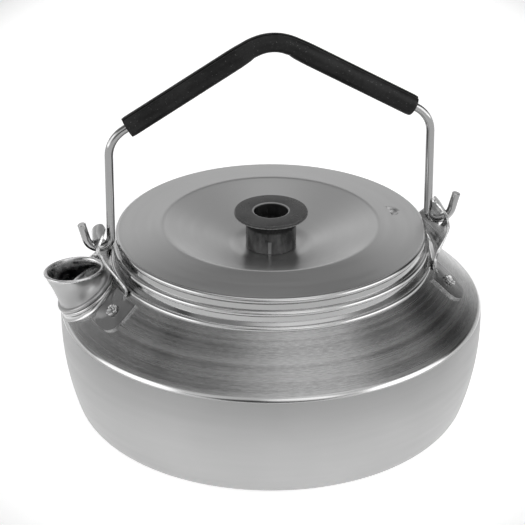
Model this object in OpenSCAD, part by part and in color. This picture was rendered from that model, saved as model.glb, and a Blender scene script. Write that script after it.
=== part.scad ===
// Camping kettle: a squat spun-aluminium pot with a flared spout, a lift-off lid and a folding wire bail.
// The origin is the centre of the flat base. The spout points along -X and the bail turns about a line
// along X. All sizes are millimetres and degrees.

/* [Pot] */
// Largest outside diameter of the pot
pot_d = 150.2; // [140:0.2:164]
// Wall of the pot
pot_wall = 1.0; // [0.6:0.1:1.4]
// Height at which the wall is widest
widest_z = 37.1; // [33:0.1:39]
// Height of the ridge between the wall and the shoulder
ridge_z = 41.9; // [40:0.1:46]
// Radius of the wall's bulge, in section
bulge_r = 94.7; // [80:0.1:130]
// Radius of the corner round the base, in section
corner_r = 10.3; // [7:0.1:14]
// Rounding of the ridge
ridge_round = 2; // [1.6:0.1:3]

/* [Neck] */
// Outside diameter of the neck
neck_d = 109.2; // [104:0.2:112]
// Height at which the shoulder's slope meets the neck
neck_foot_z = 60.8; // [58:0.1:64]
// Height of the neck above the foot of the neck
neck_h = 4.6; // [4:0.1:7]
// Radius of the bead at the foot of the neck
foot_bead_r = 1.1; // [0.8:0.1:1.4]
// How far the middle of that bead lies outside the neck
foot_bead_out = 1.5; // [1.2:0.1:1.8]
// How deep the middle of that bead lies under the shoulder
foot_bead_sink = 0.4; // [0.2:0.1:0.6]
// Radius of the rolled bead under the lip
lip_bead_r = 1.1; // [0.8:0.1:1.4]
// How far the middle of that bead lies outside the neck
lip_bead_out = 0.3; // [0.1:0.1:0.6]

/* [Spout] */
// Distance from the pot's axis to the middle of the spout's collar
collar_dist = 65.4; // [64.5:0.1:67]
// Tilt of the collar, from level
collar_tilt = 35; // [33:0.5:38]
// Radius of the hole through the shoulder
spout_hole_r = 10; // [8.5:0.1:10.6]
// Distance from the edge of the hole to the middle of the collar's rolled bead
collar_wall = 1.2; // [1:0.1:1.4]
// Radius of the collar's rolled bead and of the spout's own bead above it
collar_bead_r = 0.8; // [0.6:0.05:0.9]
// Height of the collar's top above the middle of its foot
collar_h = 1.4; // [1.2:0.1:2]
// Wall of the spout
spout_wall = 0.9; // [0.6:0.1:1.1]
// Play between the spout's tail and the hole
spout_play = 0.1; // [0.05:0.05:0.2]
// Radius of the spout just above its bead
spout_foot_r = 10.6; // [10.2:0.1:10.9]
// Radius that the spout draws in toward, at its waist
waist_r = 8.4; // [8:0.1:9]
// Radius of the mouth, across
mouth_r = 9; // [8.6:0.1:9.8]
// How much longer the mouth is in the pouring direction
mouth_stretch = 1.16; // [1.08:0.01:1.2]
// Distance from the pot's axis to the middle of the mouth
mouth_dist = 70.4; // [69:0.1:72]
// Height of the middle of the mouth
mouth_z = 59.4; // [58.5:0.1:61]
// Tilt of the mouth, from level
mouth_tilt = 5; // [0:0.5:10]
// Thickness of the mouth's rolled edge
mouth_edge = 1.2; // [1:0.1:1.6]
// Depth of the spout's end inside the shoulder
spout_tail = 1.6; // [0.8:0.1:2.4]

/* [Lid] */
// How far the lid's rolled rim reaches past the neck
lid_over = 0.5; // [0.2:0.1:0.6]
// Thickness of the lid's sheet
lid_wall = 0.8; // [0.5:0.1:1]
// Radius of the rolled rim, in section
rim_r = 1.15; // [0.9:0.05:1.4]
// Height of the folded band between the lip and the rolled rim
band_h = 2.2; // [1:0.1:3]
// Radius of the crest round the dish
crest_r = 38.1; // [30:0.1:45]
// Height of the crest above the rim's top
crest_h = 2.3; // [1:0.1:5]
// Depth of the dish, below the crest
dish_h = 8.6; // [4:0.1:10]
// Radius at which the dish's slope meets its floor
floor_r = 13; // [13:0.1:20]
// Depth of the skirt inside the neck
skirt_h = 7.8; // [5:0.1:10]
// Gap between the skirt and the neck
skirt_gap = 0.3; // [0.2:0.05:0.5]
// Distance from the lid's axis to the slit of the steam vent
vent_dist = 43.6; // [42:0.1:47]
// Half the length of the vent's slit
vent_half = 3.7; // [2.5:0.1:4]
// Depth of the pressed pouch behind the slit
vent_h = 1.8; // [1.5:0.1:2]
// Angle of the vent round the lid, from the side away from the spout
vent_turn = 4; // [-20:1:20]

/* [Knob] */
// Diameter of the knob's flange
flange_d = 26; // [22:0.2:30]
// Thickness of the flange
flange_t = 1.7; // [1.2:0.1:2.5]
// Diameter of the knob's body
knob_d = 17.8; // [16:0.2:19]
// Height of the knob above the dish's floor
knob_h = 13.3; // [10:0.1:18]
// Diameter of the hollow in the knob
hollow_d = 12.1; // [9:0.1:12.5]
// Diameter of the shank through the lid
shank_d = 14.8; // [14.2:0.1:15.2]
// Thickness of the bottom of the hollow
knob_floor = 1.2; // [0.8:0.1:2]
// Play of the shank in the lid
shank_play = 0.1; // [0.05:0.05:0.2]
// Width of the slot in the knob's body
slot_w = 1.2; // [0.8:0.1:2]
// Height of the slot
slot_h = 4.6; // [3:0.1:8]
// Depth of the slot
slot_depth = 0.7; // [0.4:0.1:1]
// Outside diameter of the retainer ring
retainer_d = 19; // [18:0.1:19.2]
// Thickness of the retainer ring
retainer_t = 0.6; // [0.4:0.1:1]
// How far the shank reaches past the retainer ring
shank_past = 1.2; // [0.8:0.1:2]

/* [Ears] */
// Thickness of the ears' sheet
ear_t = 0.8; // [0.6:0.1:1]
// Gap between the bead at the foot of the neck and an ear
ear_gap = 0.6; // [0.4:0.1:1]
// How far the ear bellies out past its foot
ear_belly = 4.8; // [4.4:0.1:5]
// Height of the belly above the foot
belly_h = 12.6; // [11.5:0.1:14]
// Height of the tip above the foot
ear_h = 17.6; // [17:0.1:20]
// Distance of the tip from the pot's axis, past the ear's foot
tip_out = 1.2; // [1.1:0.1:2.5]
// Half the width of the tongue that holds the hook hole
tongue_half = 7.2; // [6:0.1:8]
// Half the width of the ear under the tongue
shoulder_half = 9.6; // [9:0.1:11]
// Half the width of the ear above its feet
leg_half = 15.4; // [14:0.1:17]
// How far the ear's sides swell out between its feet and its tongue
side_swell = 0.8; // [0:0.1:1.2]
// Width of one leg, at its foot
leg_w = 6.9; // [5:0.1:8]
// Height of the arch between the legs, above the foot
arch_h = 3; // [2.5:0.1:5]
// Width of a foot
foot_w = 14.6; // [12:0.1:16]
// Length of a foot down the shoulder
foot_len = 14.2; // [12:0.1:15.5]
// Rounding of a foot's lower corners
foot_round = 5.4; // [3:0.1:6]
// Gap between the spout's collar and the feet beside it
foot_gap = 2.3; // [0.5:0.1:4]
// Diameter of the hook hole
hook_hole_d = 5.4; // [5.2:0.1:5.8]

/* [Rivets] */
// Diameter of a rivet's shank
rivet_d = 3.2; // [2.6:0.1:4]
// Diameter of a rivet's crimped tail
tail_d = 4.8; // [4.4:0.1:6]
// Height of the crimped tail
tail_h = 1.3; // [1:0.1:2]
// Diameter of the head inside the pot
head_d = 6.4; // [5:0.1:7]
// Height of the head
head_h = 1.1; // [0.8:0.1:1.6]
// Distance of the rivets down the foot
rivet_down = 7; // [5.5:0.1:8]
// Play of a rivet in its hole
rivet_play = 0.03; // [0.02:0.01:0.05]

/* [Bail] */
// Diameter of the bail's wire
wire_d = 3; // [2.5:0.1:3]
// Gap between the lid's rim and a leg
leg_gap = 0.5; // [0.4:0.1:0.6]
// Height of the hook's lowest point above the ear's foot, at the middle of the wire
hook_rise = 10.2; // [10:0.1:10.4]
// Bend between the leg and the bottom of the hook
hook_in_r = 3.8; // [3.5:0.1:4]
// Bend on the outside of the hook
hook_out_r = 5.1; // [5:0.1:5.5]
// Turn of the hook past its lowest point
hook_turn = 75; // [60:1:80]
// Height of the hook's end above its lowest point
hook_h = 9.6; // [8:0.1:11]
// Height at which the two arms would meet
vertex_z = 143; // [135:0.5:160]
// Slope of the arms
arm_slope = 30.8; // [25:0.1:34]
// Bend at the top of the bail
apex_r = 15; // [10:0.5:25]
// Bend between an arm and a leg
bend_r = 11; // [8:0.5:14]

/* [Grip] */
// Outside diameter of the grip
grip_d = 7.6; // [6.5:0.1:8.4]
// Distance from the pot's axis to the end of the grip
grip_x = 50.5; // [40:0.5:50.5]
// Play of the wire in the grip
grip_play = 0.05; // [0.02:0.01:0.1]
// Width of the slit along the grip
slit_w = 0.5; // [0.3:0.1:1]
// Turn of the slit from the top of the grip toward the front
slit_turn = 13; // [0:1:60]

/* [Hidden] */

pot_colour = "#b9bbbd";
polished_colour = "#c9cbcc";
steel_colour = "#a9acaf";
rivet_colour = "#d2d3d4";
black_colour = "#2b2b2c";

round_fn = 120;
small_fn = 40;
arc_steps = 14;
sliver = 0.01;

// Points of an arc in a plane, from angle a0 to a1
function arc(c, r, a0, a1, n = arc_steps) =
    [for (i = [0 : n]) c + r * [cos(a0 + (a1 - a0) * i / n), sin(a0 + (a1 - a0) * i / n)]];
// Unit vector from p to q, and its right-hand normal
function along(p, q) = (q - p) / norm(q - p);
function right(p, q) = [along(p, q).y, -along(p, q).x];
// The corner at q between p and s, rounded to radius r
function round_corner(p, q, s, r, n = arc_steps) =
    let (u = along(q, p), v = along(q, s), half = acos(u * v) / 2,
         c = q + (u + v) / norm(u + v) * r / sin(half),
         from = q + u * r / tan(half), to = q + v * r / tan(half),
         a0 = atan2(from.y - c.y, from.x - c.x), a1 = atan2(to.y - c.y, to.x - c.x),
         turn = a1 - a0 > 180 ? a1 - a0 - 360 : a1 - a0 < -180 ? a1 - a0 + 360 : a1 - a0)
    arc(c, r, a0, a0 + turn, n);
// A path moved sideways by t, to its right for a positive t
function beside(p, t) =
    [for (i = [0 : len(p) - 1])
        let (a = right(p[max(i - 1, 0)], p[max(i, 1)]),
             b = right(p[min(i, len(p) - 2)], p[min(i + 1, len(p) - 1)]))
        p[i] + t * (a + b) / (1 + a * b)];
function reversed(p) = [for (i = [len(p) - 1 : -1 : 0]) p[i]];
// Smooth rise from 0 to 1
function ease(u) = (1 - cos(180 * u)) / 2;

// Pot: places worked out from its sizes
neck_r = neck_d / 2;
neck_in_r = neck_r - pot_wall;
lip_z = neck_foot_z + neck_h;
bulge_c = [pot_d / 2 - bulge_r, widest_z];
corner_c = [bulge_c.x + sqrt(pow(bulge_r - corner_r, 2) - pow(widest_z - corner_r, 2)), corner_r];
corner_a = atan2(corner_c.y - bulge_c.y, corner_c.x - bulge_c.x);
ridge_a = asin((ridge_z - widest_z) / bulge_r);
ridge_p = bulge_c + bulge_r * [cos(ridge_a), sin(ridge_a)];
shoulder_a = atan2(neck_foot_z - ridge_z, ridge_p.x - neck_r);
function shoulder_z(r) = neck_foot_z - (r - neck_r) * tan(shoulder_a);
wall_path = arc(bulge_c, bulge_r, corner_a, ridge_a);
neck_foot = [neck_r, neck_foot_z];
pot_path = concat(
    [[0, 0]],
    arc(corner_c, corner_r, -90, corner_a),
    [for (i = [1 : arc_steps - 1]) wall_path[i]],
    round_corner(wall_path[arc_steps - 1], ridge_p, neck_foot, ridge_round, 8),
    [neck_foot, [neck_r, lip_z]]);
cavity_path = beside(pot_path, -pot_wall);
foot_bead_x = neck_r + foot_bead_out;
foot_bead_c = [foot_bead_x, shoulder_z(foot_bead_x) - foot_bead_sink];
lip_bead_c = [neck_r + lip_bead_out, lip_z - lip_bead_r];

// Spout: the middle of its collar, and the line of its middle up to the mouth
collar_c = [collar_dist, shoulder_z(collar_dist)];
collar_up = [sin(collar_tilt), cos(collar_tilt)];
collar_r = spout_hole_r + collar_wall;
collar_out_r = collar_r + collar_bead_r;
collar_root = 3 * pot_wall;
tail_r = spout_hole_r - spout_play;
tail_in_r = tail_r - spout_wall;
hole_drill = 4 * spout_hole_r;
spout_bead_z = collar_h + collar_bead_r;
tube_c = collar_c + (spout_bead_z + collar_bead_r) * collar_up;
mouth_c = [mouth_dist, mouth_z];
tube_turn_c = tube_c + 0.5 * norm(mouth_c - tube_c) * collar_up;
function tube_mid(u) = pow(1 - u, 2) * tube_c + 2 * u * (1 - u) * tube_turn_c + u * u * mouth_c;
function tube_tilt(u) = collar_tilt + (mouth_tilt - collar_tilt) * u;
function tube_r(u) =
    waist_r + (spout_foot_r - waist_r) * pow(1 - u, 2.5) + (mouth_r - waist_r) * pow(u, 2);
function tube_stretch(u) = 1 + (mouth_stretch - 1) * u;
spout_sides = 40;
tube_rings = 8;

// Lid: heights and the path of its upper face, from the knob hole to the rim
lid_r = neck_r + lid_over;
band_r = neck_r;
rim_c = [lid_r - rim_r, lip_z + band_h + rim_r];
rim_top_z = rim_c.y + rim_r;
crest_z = rim_top_z + crest_h;
floor_z = crest_z - dish_h;
skirt_out_r = neck_in_r - skirt_gap;
shank_hole_r = shank_d / 2 + shank_play;
dish_blend_r = 18;
crest_round = 4;
lid_path = concat(
    [[shank_hole_r, floor_z]],
    round_corner([shank_hole_r, floor_z], [floor_r, floor_z], [crest_r, crest_z], dish_blend_r, 10),
    round_corner([floor_r, floor_z], [crest_r, crest_z], [rim_c.x, rim_top_z], crest_round, 8),
    [[rim_c.x, rim_top_z]]);
lid_under = beside(lid_path, lid_wall);
under_slope = crest_h / (rim_c.x - crest_r);
skirt_in_r = skirt_out_r - lid_wall;
skirt_top_z = rim_top_z - lid_wall + (rim_c.x - skirt_in_r) * under_slope;
lid_outline = concat(
    lid_path,
    arc(rim_c, rim_r, 80, -70, 12),
    [[band_r, rim_c.y - rim_r], [band_r, lip_z], [skirt_out_r, lip_z],
     [skirt_out_r, lip_z - skirt_h], [skirt_in_r, lip_z - skirt_h], [skirt_in_r, skirt_top_z]],
    [for (i = [len(lid_under) - 2 : -1 : 0]) lid_under[i]]);
vent_z = rim_top_z + (rim_c.x - vent_dist) * under_slope;
vent_ball_r = (vent_half * vent_half + vent_h * vent_h) / (2 * vent_h);
vent_c = [vent_dist, 0, vent_z + vent_ball_r - vent_h];

// Knob
knob_r = knob_d / 2;
flange_r = flange_d / 2;
hollow_r = hollow_d / 2;
shank_r = shank_d / 2;
knob_top_z = floor_z + knob_h;
shank_end_z = floor_z - lid_wall - retainer_t - shank_past;
knob_edge = 0.5;
knob_front_a = 256;

// Ears: the line of the inner face, up the shoulder and then up the ear
ear_foot_r = foot_bead_x + foot_bead_r + ear_gap;
foot_z = shoulder_z(ear_foot_r);
foot_mid_r = collar_dist;
foot_turn = asin((collar_out_r + foot_gap + foot_w / 2) / foot_mid_r);
foot_end_r = ear_foot_r + foot_len * cos(shoulder_a) + 3;
ear_bend_r = 1;
belly_z = foot_z + belly_h;
tip_z = foot_z + ear_h;
rise_z = foot_z + 1.6;
function ear_r(z) =
    z < belly_z ? ear_foot_r + ear_belly * ease((z - rise_z) / (belly_z - rise_z))
                : ear_foot_r + ear_belly - (ear_belly - tip_out) * pow((z - belly_z) / (tip_z - belly_z), 2);
ear_steps = 18;
ear_path = concat(
    [[foot_end_r, shoulder_z(foot_end_r)]],
    round_corner([foot_end_r, shoulder_z(foot_end_r)], [ear_foot_r, foot_z], [ear_foot_r, rise_z],
                 ear_bend_r + ear_t, 5),
    [for (i = [0 : ear_steps]) let (z = rise_z + (tip_z - rise_z) * i / ear_steps) [ear_r(z), z]]);
ear_section = concat(ear_path, reversed(beside(ear_path, ear_t)));
arch_half = ear_foot_r * sin(foot_turn) - foot_w / 2 * cos(foot_turn) + 0.4;
tongue_c_z = tip_z - tongue_half * 2 / 3;
root_z = rise_z + 0.2;
leg_out = arch_half + leg_w;
leg_top_z = root_z + 3;
rivet_drill = 2 * (head_h + pot_wall + ear_t + tail_h);

// Bail: the points where its runs and bends meet, in the plane of the bail as [x, z]
wire_r = wire_d / 2;
leg_x = lid_r + leg_gap + wire_r;
hook_z = foot_z + hook_rise;
apex_c = [0, vertex_z - apex_r / cos(arm_slope)];
apex_end = apex_c + apex_r * [sin(arm_slope), cos(arm_slope)];
corner_z = vertex_z - leg_x * tan(arm_slope);
bend_len = bend_r * tan((90 - arm_slope) / 2);
leg_top = [leg_x, corner_z - bend_len];
arm_end = [leg_x, corner_z] + bend_len * [-cos(arm_slope), sin(arm_slope)];
hook_start = [leg_x, hook_z + hook_in_r];
hook_bottom_x = leg_x + hook_in_r;
hook_c = [hook_bottom_x, hook_z + hook_out_r];
hook_lift = hook_c + hook_out_r * [sin(hook_turn), -cos(hook_turn)];
hook_end = hook_lift + (hook_z + hook_h - hook_lift.y) / sin(hook_turn) * [cos(hook_turn), sin(hook_turn)];
grip_end = [grip_x, vertex_z - grip_x * tan(arm_slope)];

// A bend draws the wire a little thinner, and each straight run laps over the bends beside it
draw = 0.01;
lap = 0.15;

// The line the bail turns about: where the wire's middle crosses the middle of the ear's sheet
hinge_x = ear_r(hook_z + 0.5) + ear_t / 2;
hinge_z = hook_c.y - sqrt(pow(hook_out_r, 2) - pow(hinge_x - hook_bottom_x, 2));

// Things set square to the shoulder, at a distance r from the axis and turned round it by a
module on_shoulder(r, a, tilt = shoulder_a)
    rotate([0, 0, a])
        translate([r, 0, shoulder_z(r)])
            rotate([0, tilt, 0])
                children();

// Where the four feet's rivets go, as angles round the pot
rivet_r = ear_foot_r + rivet_down * cos(shoulder_a);
rivet_angles = [180 + foot_turn, 180 - foot_turn, -foot_turn, foot_turn];

module rivet_hole()
    cylinder(h = rivet_drill, r = rivet_d / 2 + rivet_play, center = true, $fn = small_fn);

module body()
    color(pot_colour)
        difference() {
            union() {
                rotate_extrude($fn = round_fn)
                    union() {
                        polygon(concat(pot_path, [[0, lip_z]]));
                        translate(foot_bead_c)
                            circle(foot_bead_r, $fn = small_fn);
                        translate(lip_bead_c)
                            circle(lip_bead_r, $fn = small_fn);
                    }
                on_shoulder(collar_dist, 180, collar_tilt)
                    rotate_extrude($fn = round_fn)
                        union() {
                            translate([0, -collar_root])
                                square([collar_out_r - 0.2, collar_root + collar_h - collar_bead_r]);
                            square([collar_r, collar_h]);
                            translate([collar_r, collar_h - collar_bead_r])
                                circle(collar_bead_r, $fn = small_fn);
                        }
            }
            rotate_extrude($fn = round_fn)
                polygon(concat(cavity_path, [[neck_in_r, lip_z + 1], [0, lip_z + 1]]));
            on_shoulder(collar_dist, 180, collar_tilt)
                cylinder(h = hole_drill, r = spout_hole_r, center = true, $fn = round_fn);
            // Room for the spout's bead where it passes the bead at the foot of the neck
            on_shoulder(collar_dist, 180, collar_tilt)
                translate([0, 0, collar_h])
                    cylinder(h = 3 * collar_bead_r, r = collar_out_r + spout_play, $fn = round_fn);
            for (a = rivet_angles)
                on_shoulder(rivet_r, a)
                    rivet_hole();
        }

// One closed loop of points round the spout: middle c, radius r, tilt t and stretch s
function loop(c, r, t, s = 1) =
    [for (i = [0 : spout_sides - 1])
        let (a = 360 * i / spout_sides)
        [-c.x - r * s * cos(a) * cos(t), r * sin(a), c.y - r * s * cos(a) * sin(t)]];
function collar_loop(h, r) = loop(collar_c + h * collar_up, r, collar_tilt);
function tube_loop(u, inset) =
    loop(tube_mid(u), tube_r(u) - inset, tube_tilt(u), tube_stretch(u));
mouth_up = [sin(mouth_tilt), cos(mouth_tilt)];
// The section of the spout, as loops from the tail up the outside, over the edge and down the inside
spout_loops = concat(
    [collar_loop(-pot_wall - spout_tail, tail_r), collar_loop(collar_h + spout_play, tail_r)],
    [for (a = [-60 : 30 : 60])
        collar_loop(spout_bead_z + collar_bead_r * sin(a), collar_r - spout_play + collar_bead_r * cos(a))],
    [for (i = [0 : tube_rings - 1]) tube_loop(i / tube_rings, 0)],
    [for (a = [-60 : 40 : 140])
        loop(mouth_c + mouth_edge / 2 * (1 + sin(a)) * mouth_up,
             mouth_r + mouth_edge * (cos(a) - 0.4) / 2, mouth_tilt, mouth_stretch)],
    [for (i = [tube_rings - 1 : -1 : 0]) tube_loop(i / tube_rings, spout_wall)],
    [collar_loop(collar_h, tail_in_r), collar_loop(-pot_wall - spout_tail, tail_in_r)]);

module spout() {
    rows = len(spout_loops);
    faces = [for (j = [0 : rows - 1], i = [0 : spout_sides - 1])
        let (a = j * spout_sides + i, b = j * spout_sides + (i + 1) % spout_sides,
             c = ((j + 1) % rows) * spout_sides + (i + 1) % spout_sides,
             d = ((j + 1) % rows) * spout_sides + i)
        each [[a, c, b], [a, d, c]]];
    color(polished_colour)
        polyhedron(points = [for (row = spout_loops) each row], faces = faces, convexity = 6);
}

module lid()
    color(polished_colour)
        difference() {
            union() {
                rotate_extrude($fn = round_fn)
                    polygon(lid_outline);
                // Underside of the pressed vent
                rotate([0, 0, vent_turn])
                    intersection() {
                        translate(vent_c)
                            sphere(vent_ball_r + lid_wall, $fn = round_fn);
                        translate([vent_dist, -vent_half - 2, vent_z - vent_h - 2])
                            cube([vent_half + 2, 2 * vent_half + 4, vent_h + 2 - lid_wall / 2]);
                    }
            }
            rotate([0, 0, vent_turn])
                intersection() {
                    translate(vent_c)
                        sphere(vent_ball_r, $fn = round_fn);
                    translate([vent_dist, -vent_half - 2, vent_z - vent_h - 3])
                        cube([vent_half + 2, 2 * vent_half + 4, vent_h + 6]);
                }
            // The mouth of the vent, under the slit
            rotate([0, 0, vent_turn])
                intersection() {
                    translate(vent_c)
                        sphere(vent_ball_r, $fn = round_fn);
                    translate([vent_dist - 0.6, -vent_half, vent_z - vent_h - 1])
                        cube([1, 2 * vent_half, vent_h + 3]);
                }
        }

module lid_knob() {
    section = concat(
        [[0, shank_end_z], [shank_r, shank_end_z], [shank_r, floor_z], [knob_r, floor_z]],
        round_corner([knob_r, floor_z], [knob_r, knob_top_z - flange_t],
                     [flange_r, knob_top_z - flange_t], 1, 6),
        round_corner([knob_r, knob_top_z - flange_t], [flange_r, knob_top_z - flange_t],
                     [flange_r, knob_top_z], flange_t * 0.4, 6),
        round_corner([flange_r, knob_top_z - flange_t], [flange_r, knob_top_z],
                     [hollow_r, knob_top_z], knob_edge, 6),
        round_corner([flange_r, knob_top_z], [hollow_r, knob_top_z],
                     [hollow_r, shank_end_z], knob_edge, 6),
        [[hollow_r, shank_end_z + knob_floor], [0, shank_end_z + knob_floor]]);
    color(black_colour)
        difference() {
            rotate_extrude($fn = round_fn)
                polygon(section);
            rotate([0, 0, knob_front_a])
                translate([knob_r - slot_depth, -slot_w / 2, floor_z - sliver])
                    cube([slot_depth + 1, slot_w, slot_h + sliver]);
        }
}

module knob_retainer()
    color(steel_colour)
        translate([0, 0, floor_z - lid_wall - retainer_t])
            difference() {
                cylinder(h = retainer_t, d = retainer_d, $fn = round_fn);
                translate([0, 0, -1])
                    cylinder(h = retainer_t + 2, r = shank_r + 0.05, $fn = round_fn);
            }

// Flat outline of an ear, seen along X: y across and z up
module ear_outline() {
    tongue = [for (a = [20 : 10 : 160])
        [tongue_half * cos(a), tongue_c_z + (tip_z - tongue_c_z) * sin(a)]];
    side = concat(
        [[leg_out, root_z], [leg_out, (root_z + leg_top_z) / 2]],
        [for (i = [0 : 6])
            let (u = i / 6)
            [leg_half + (shoulder_half - leg_half) * u + 4 * side_swell * u * (1 - u),
             leg_top_z + (tongue_c_z - leg_top_z) * u]],
        [[(tongue_half + shoulder_half) / 2 - 0.6, tongue_c_z + 0.9]]);
    difference() {
        polygon(concat(side, tongue, [for (p = reversed(side)) [-p.x, p.y]]));
        translate([0, root_z])
            scale([1, (foot_z + arch_h - root_z) / arch_half])
                circle(arch_half, $fn = small_fn);
    }
}

// Flat outline of a foot, with x down the shoulder from the bend and y toward the pot's front or back
module foot_outline() {
    root_in = -foot_w / 2;
    root_out = root_in + leg_w;
    difference() {
        union() {
            polygon(concat(
                [[0.4, root_in], [foot_len - foot_round, root_in]],
                arc([foot_len - foot_round, root_in + foot_round], foot_round, -90, 0, 8),
                arc([foot_len - foot_round, -root_in - foot_round], foot_round, 0, 90, 8),
                [[0.4, -root_in]]));
            translate([-3, root_in])
                square([4.5, leg_w]);
        }
        // Relief notch beside the bend
        translate([0.3, root_out + 0.7])
            circle(0.7, $fn = small_fn);
    }
}

// An ear at +X
module ear()
    difference() {
        intersection() {
            rotate_extrude($fn = round_fn)
                polygon(ear_section);
            union() {
                rotate([90, 0, 90])
                    linear_extrude(pot_d)
                        ear_outline();
                for (s = [-1, 1])
                    on_shoulder(ear_foot_r, s * foot_turn)
                        mirror([0, s > 0 ? 0 : 1, 0])
                            translate([0, 0, -ear_t])
                                linear_extrude(4 * ear_t)
                                    foot_outline();
            }
        }
        translate([0, 0, hinge_z])
            rotate([0, 90, 0])
                cylinder(h = pot_d, d = hook_hole_d, $fn = small_fn);
        for (s = [-1, 1])
            on_shoulder(rivet_r, s * foot_turn)
                rivet_hole();
    }

module spout_side_ear()
    color(steel_colour)
        rotate([0, 0, 180])
            ear();

module far_side_ear()
    color(steel_colour)
        ear();

// A rivet through a foot and the shoulder, with a hollow crimped tail outside and a head inside
module rivet(a)
    color(rivet_colour)
        on_shoulder(rivet_r, a)
            difference() {
                union() {
                    translate([0, 0, -pot_wall - 0.5])
                        cylinder(h = pot_wall + 0.5 + ear_t + 0.5, r = rivet_d / 2, $fn = small_fn);
                    translate([0, 0, ear_t + sliver])
                        rotate_extrude($fn = small_fn)
                            polygon(concat([[0, 0]],
                                round_corner([0, 0], [tail_d / 2, 0], [tail_d / 2, tail_h], 0.3, 4),
                                round_corner([tail_d / 2, 0], [tail_d / 2, tail_h], [0, tail_h], 0.5, 4),
                                [[0, tail_h]]));
                    translate([0, 0, -pot_wall - 0.08 - head_h])
                        rotate_extrude($fn = small_fn)
                            polygon(concat([[0, 0]],
                                round_corner([0, 0], [head_d / 2, 0], [head_d / 2, head_h], 0.7, 5),
                                [[head_d / 2, head_h], [0, head_h]]));
                }
                translate([0, 0, ear_t])
                    cylinder(h = tail_h + 1, r1 = rivet_d / 4, r2 = rivet_d / 2 + 0.4, $fn = small_fn);
                // The crimp splits the tail into petals
                for (i = [0 : 4])
                    rotate([0, 0, 36 + 72 * i])
                        translate([tail_d / 2 - 0.7, -0.3, ear_t + 0.5])
                            cube([2, 0.6, tail_h]);
            }

module rivet_spout_front() rivet(rivet_angles[0]);
module rivet_spout_back() rivet(rivet_angles[1]);
module rivet_far_front() rivet(rivet_angles[2]);
module rivet_far_back() rivet(rivet_angles[3]);

// A bend in the plane of the bail: centre c, radius r, from angle a0 through da, of the given section
module bend(c, r, a0, da)
    translate([c.x, 0, c.y])
        rotate([90, 0, 0])
            rotate([0, 0, a0])
                rotate_extrude(angle = da, $fn = round_fn)
                    translate([r, 0])
                        children();

// A straight run in the plane of the bail from p to q, lapping over the bends at its ends. The section's
// x points across the run and its y to the pot's front or back.
module run(p, q, lap_p = lap, lap_q = lap)
    translate([p.x, 0, p.y])
        rotate([90, 0, 0])
            rotate([0, 0, atan2(q.y - p.y, q.x - p.x)])
                rotate([90, 0, 90])
                    translate([0, 0, -lap_p])
                        linear_extrude(norm(q - p) + lap_p + lap_q)
                            children();

module wire_section(less = 0) circle(wire_r - less, $fn = small_fn);

module bail_side() {
    run(apex_end, arm_end) wire_section();
    bend([leg_x - bend_r, leg_top.y], bend_r, 0, 90 - arm_slope) wire_section(draw);
    run(leg_top, hook_start) wire_section();
    bend([hook_bottom_x, hook_start.y], hook_in_r, 180, 90) wire_section(draw);
    run([hook_bottom_x, hook_z], [hook_bottom_x + sliver, hook_z]) wire_section();
    bend(hook_c, hook_out_r, 270, hook_turn) wire_section(draw);
    run(hook_lift, hook_end, lap, 0) wire_section();
}

module bail_wire()
    color(steel_colour)
        union() {
            bend(apex_c, apex_r, 90 - arm_slope, 2 * arm_slope) wire_section(draw);
            bail_side();
            mirror([1, 0, 0]) bail_side();
        }

// A shape drawn by section 0 along both arms of the grip and by section 1 round its bend, running past
// the grip's ends by the given length
module along_grip(past = 0) {
    run([-grip_end.x, grip_end.y], [-apex_end.x, apex_end.y], past, lap) children(0);
    bend(apex_c, apex_r, 90 - arm_slope, 2 * arm_slope) children(1);
    run(apex_end, grip_end, lap, past) children(0);
}

module slit_section(less = 0)
    rotate(slit_turn)
        translate([0, -slit_w / 2 + less])
            square([grip_d, slit_w - 2 * less]);

module bail_grip()
    color(black_colour)
        difference() {
            along_grip() {
                circle(grip_d / 2, $fn = small_fn);
                circle(grip_d / 2 - draw, $fn = small_fn);
            }
            along_grip(1) {
                wire_section(-grip_play);
                wire_section(draw - grip_play);
            }
            along_grip(1) {
                slit_section();
                slit_section(draw);
            }
        }

body();
spout();
lid();
lid_knob();
knob_retainer();
spout_side_ear();
far_side_ear();
rivet_spout_front();
rivet_spout_back();
rivet_far_front();
rivet_far_back();
bail_wire();
bail_grip();
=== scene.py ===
import math
from math import atan2, cos, degrees, hypot, radians, sin, sqrt, tan

import bmesh
import bpy
from mathutils import Matrix, Vector


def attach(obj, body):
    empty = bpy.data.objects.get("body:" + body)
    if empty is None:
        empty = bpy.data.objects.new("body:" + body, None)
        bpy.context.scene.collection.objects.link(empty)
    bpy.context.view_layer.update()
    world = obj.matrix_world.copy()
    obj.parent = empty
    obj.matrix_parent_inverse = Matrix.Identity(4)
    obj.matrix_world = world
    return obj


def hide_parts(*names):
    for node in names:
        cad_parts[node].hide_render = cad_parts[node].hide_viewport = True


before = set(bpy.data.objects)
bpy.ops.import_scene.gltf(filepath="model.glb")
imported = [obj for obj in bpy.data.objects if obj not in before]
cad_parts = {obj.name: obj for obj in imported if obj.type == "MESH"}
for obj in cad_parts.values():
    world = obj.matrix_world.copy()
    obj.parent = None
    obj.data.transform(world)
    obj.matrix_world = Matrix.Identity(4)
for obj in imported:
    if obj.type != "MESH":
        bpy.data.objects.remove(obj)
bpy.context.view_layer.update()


# The pot: one shell spun from aluminium sheet over a former. Its wall and base are left satin, its
# shoulder is brushed on the lathe, and the ridge and the neck with its two rolled beads are
# burnished and painted lighter, a painted highlight. It carries everything else. Sizes are in
# millimetres.
mm = 0.001
pot_r = 75.1
pot_wall = 1.0
widest_z, ridge_z = 37.1, 41.9
bulge_r, corner_r, ridge_round = 94.7, 10.3, 3.2
neck_r, neck_foot_z, lip_z = 54.6, 60.8, 65.4
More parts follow.
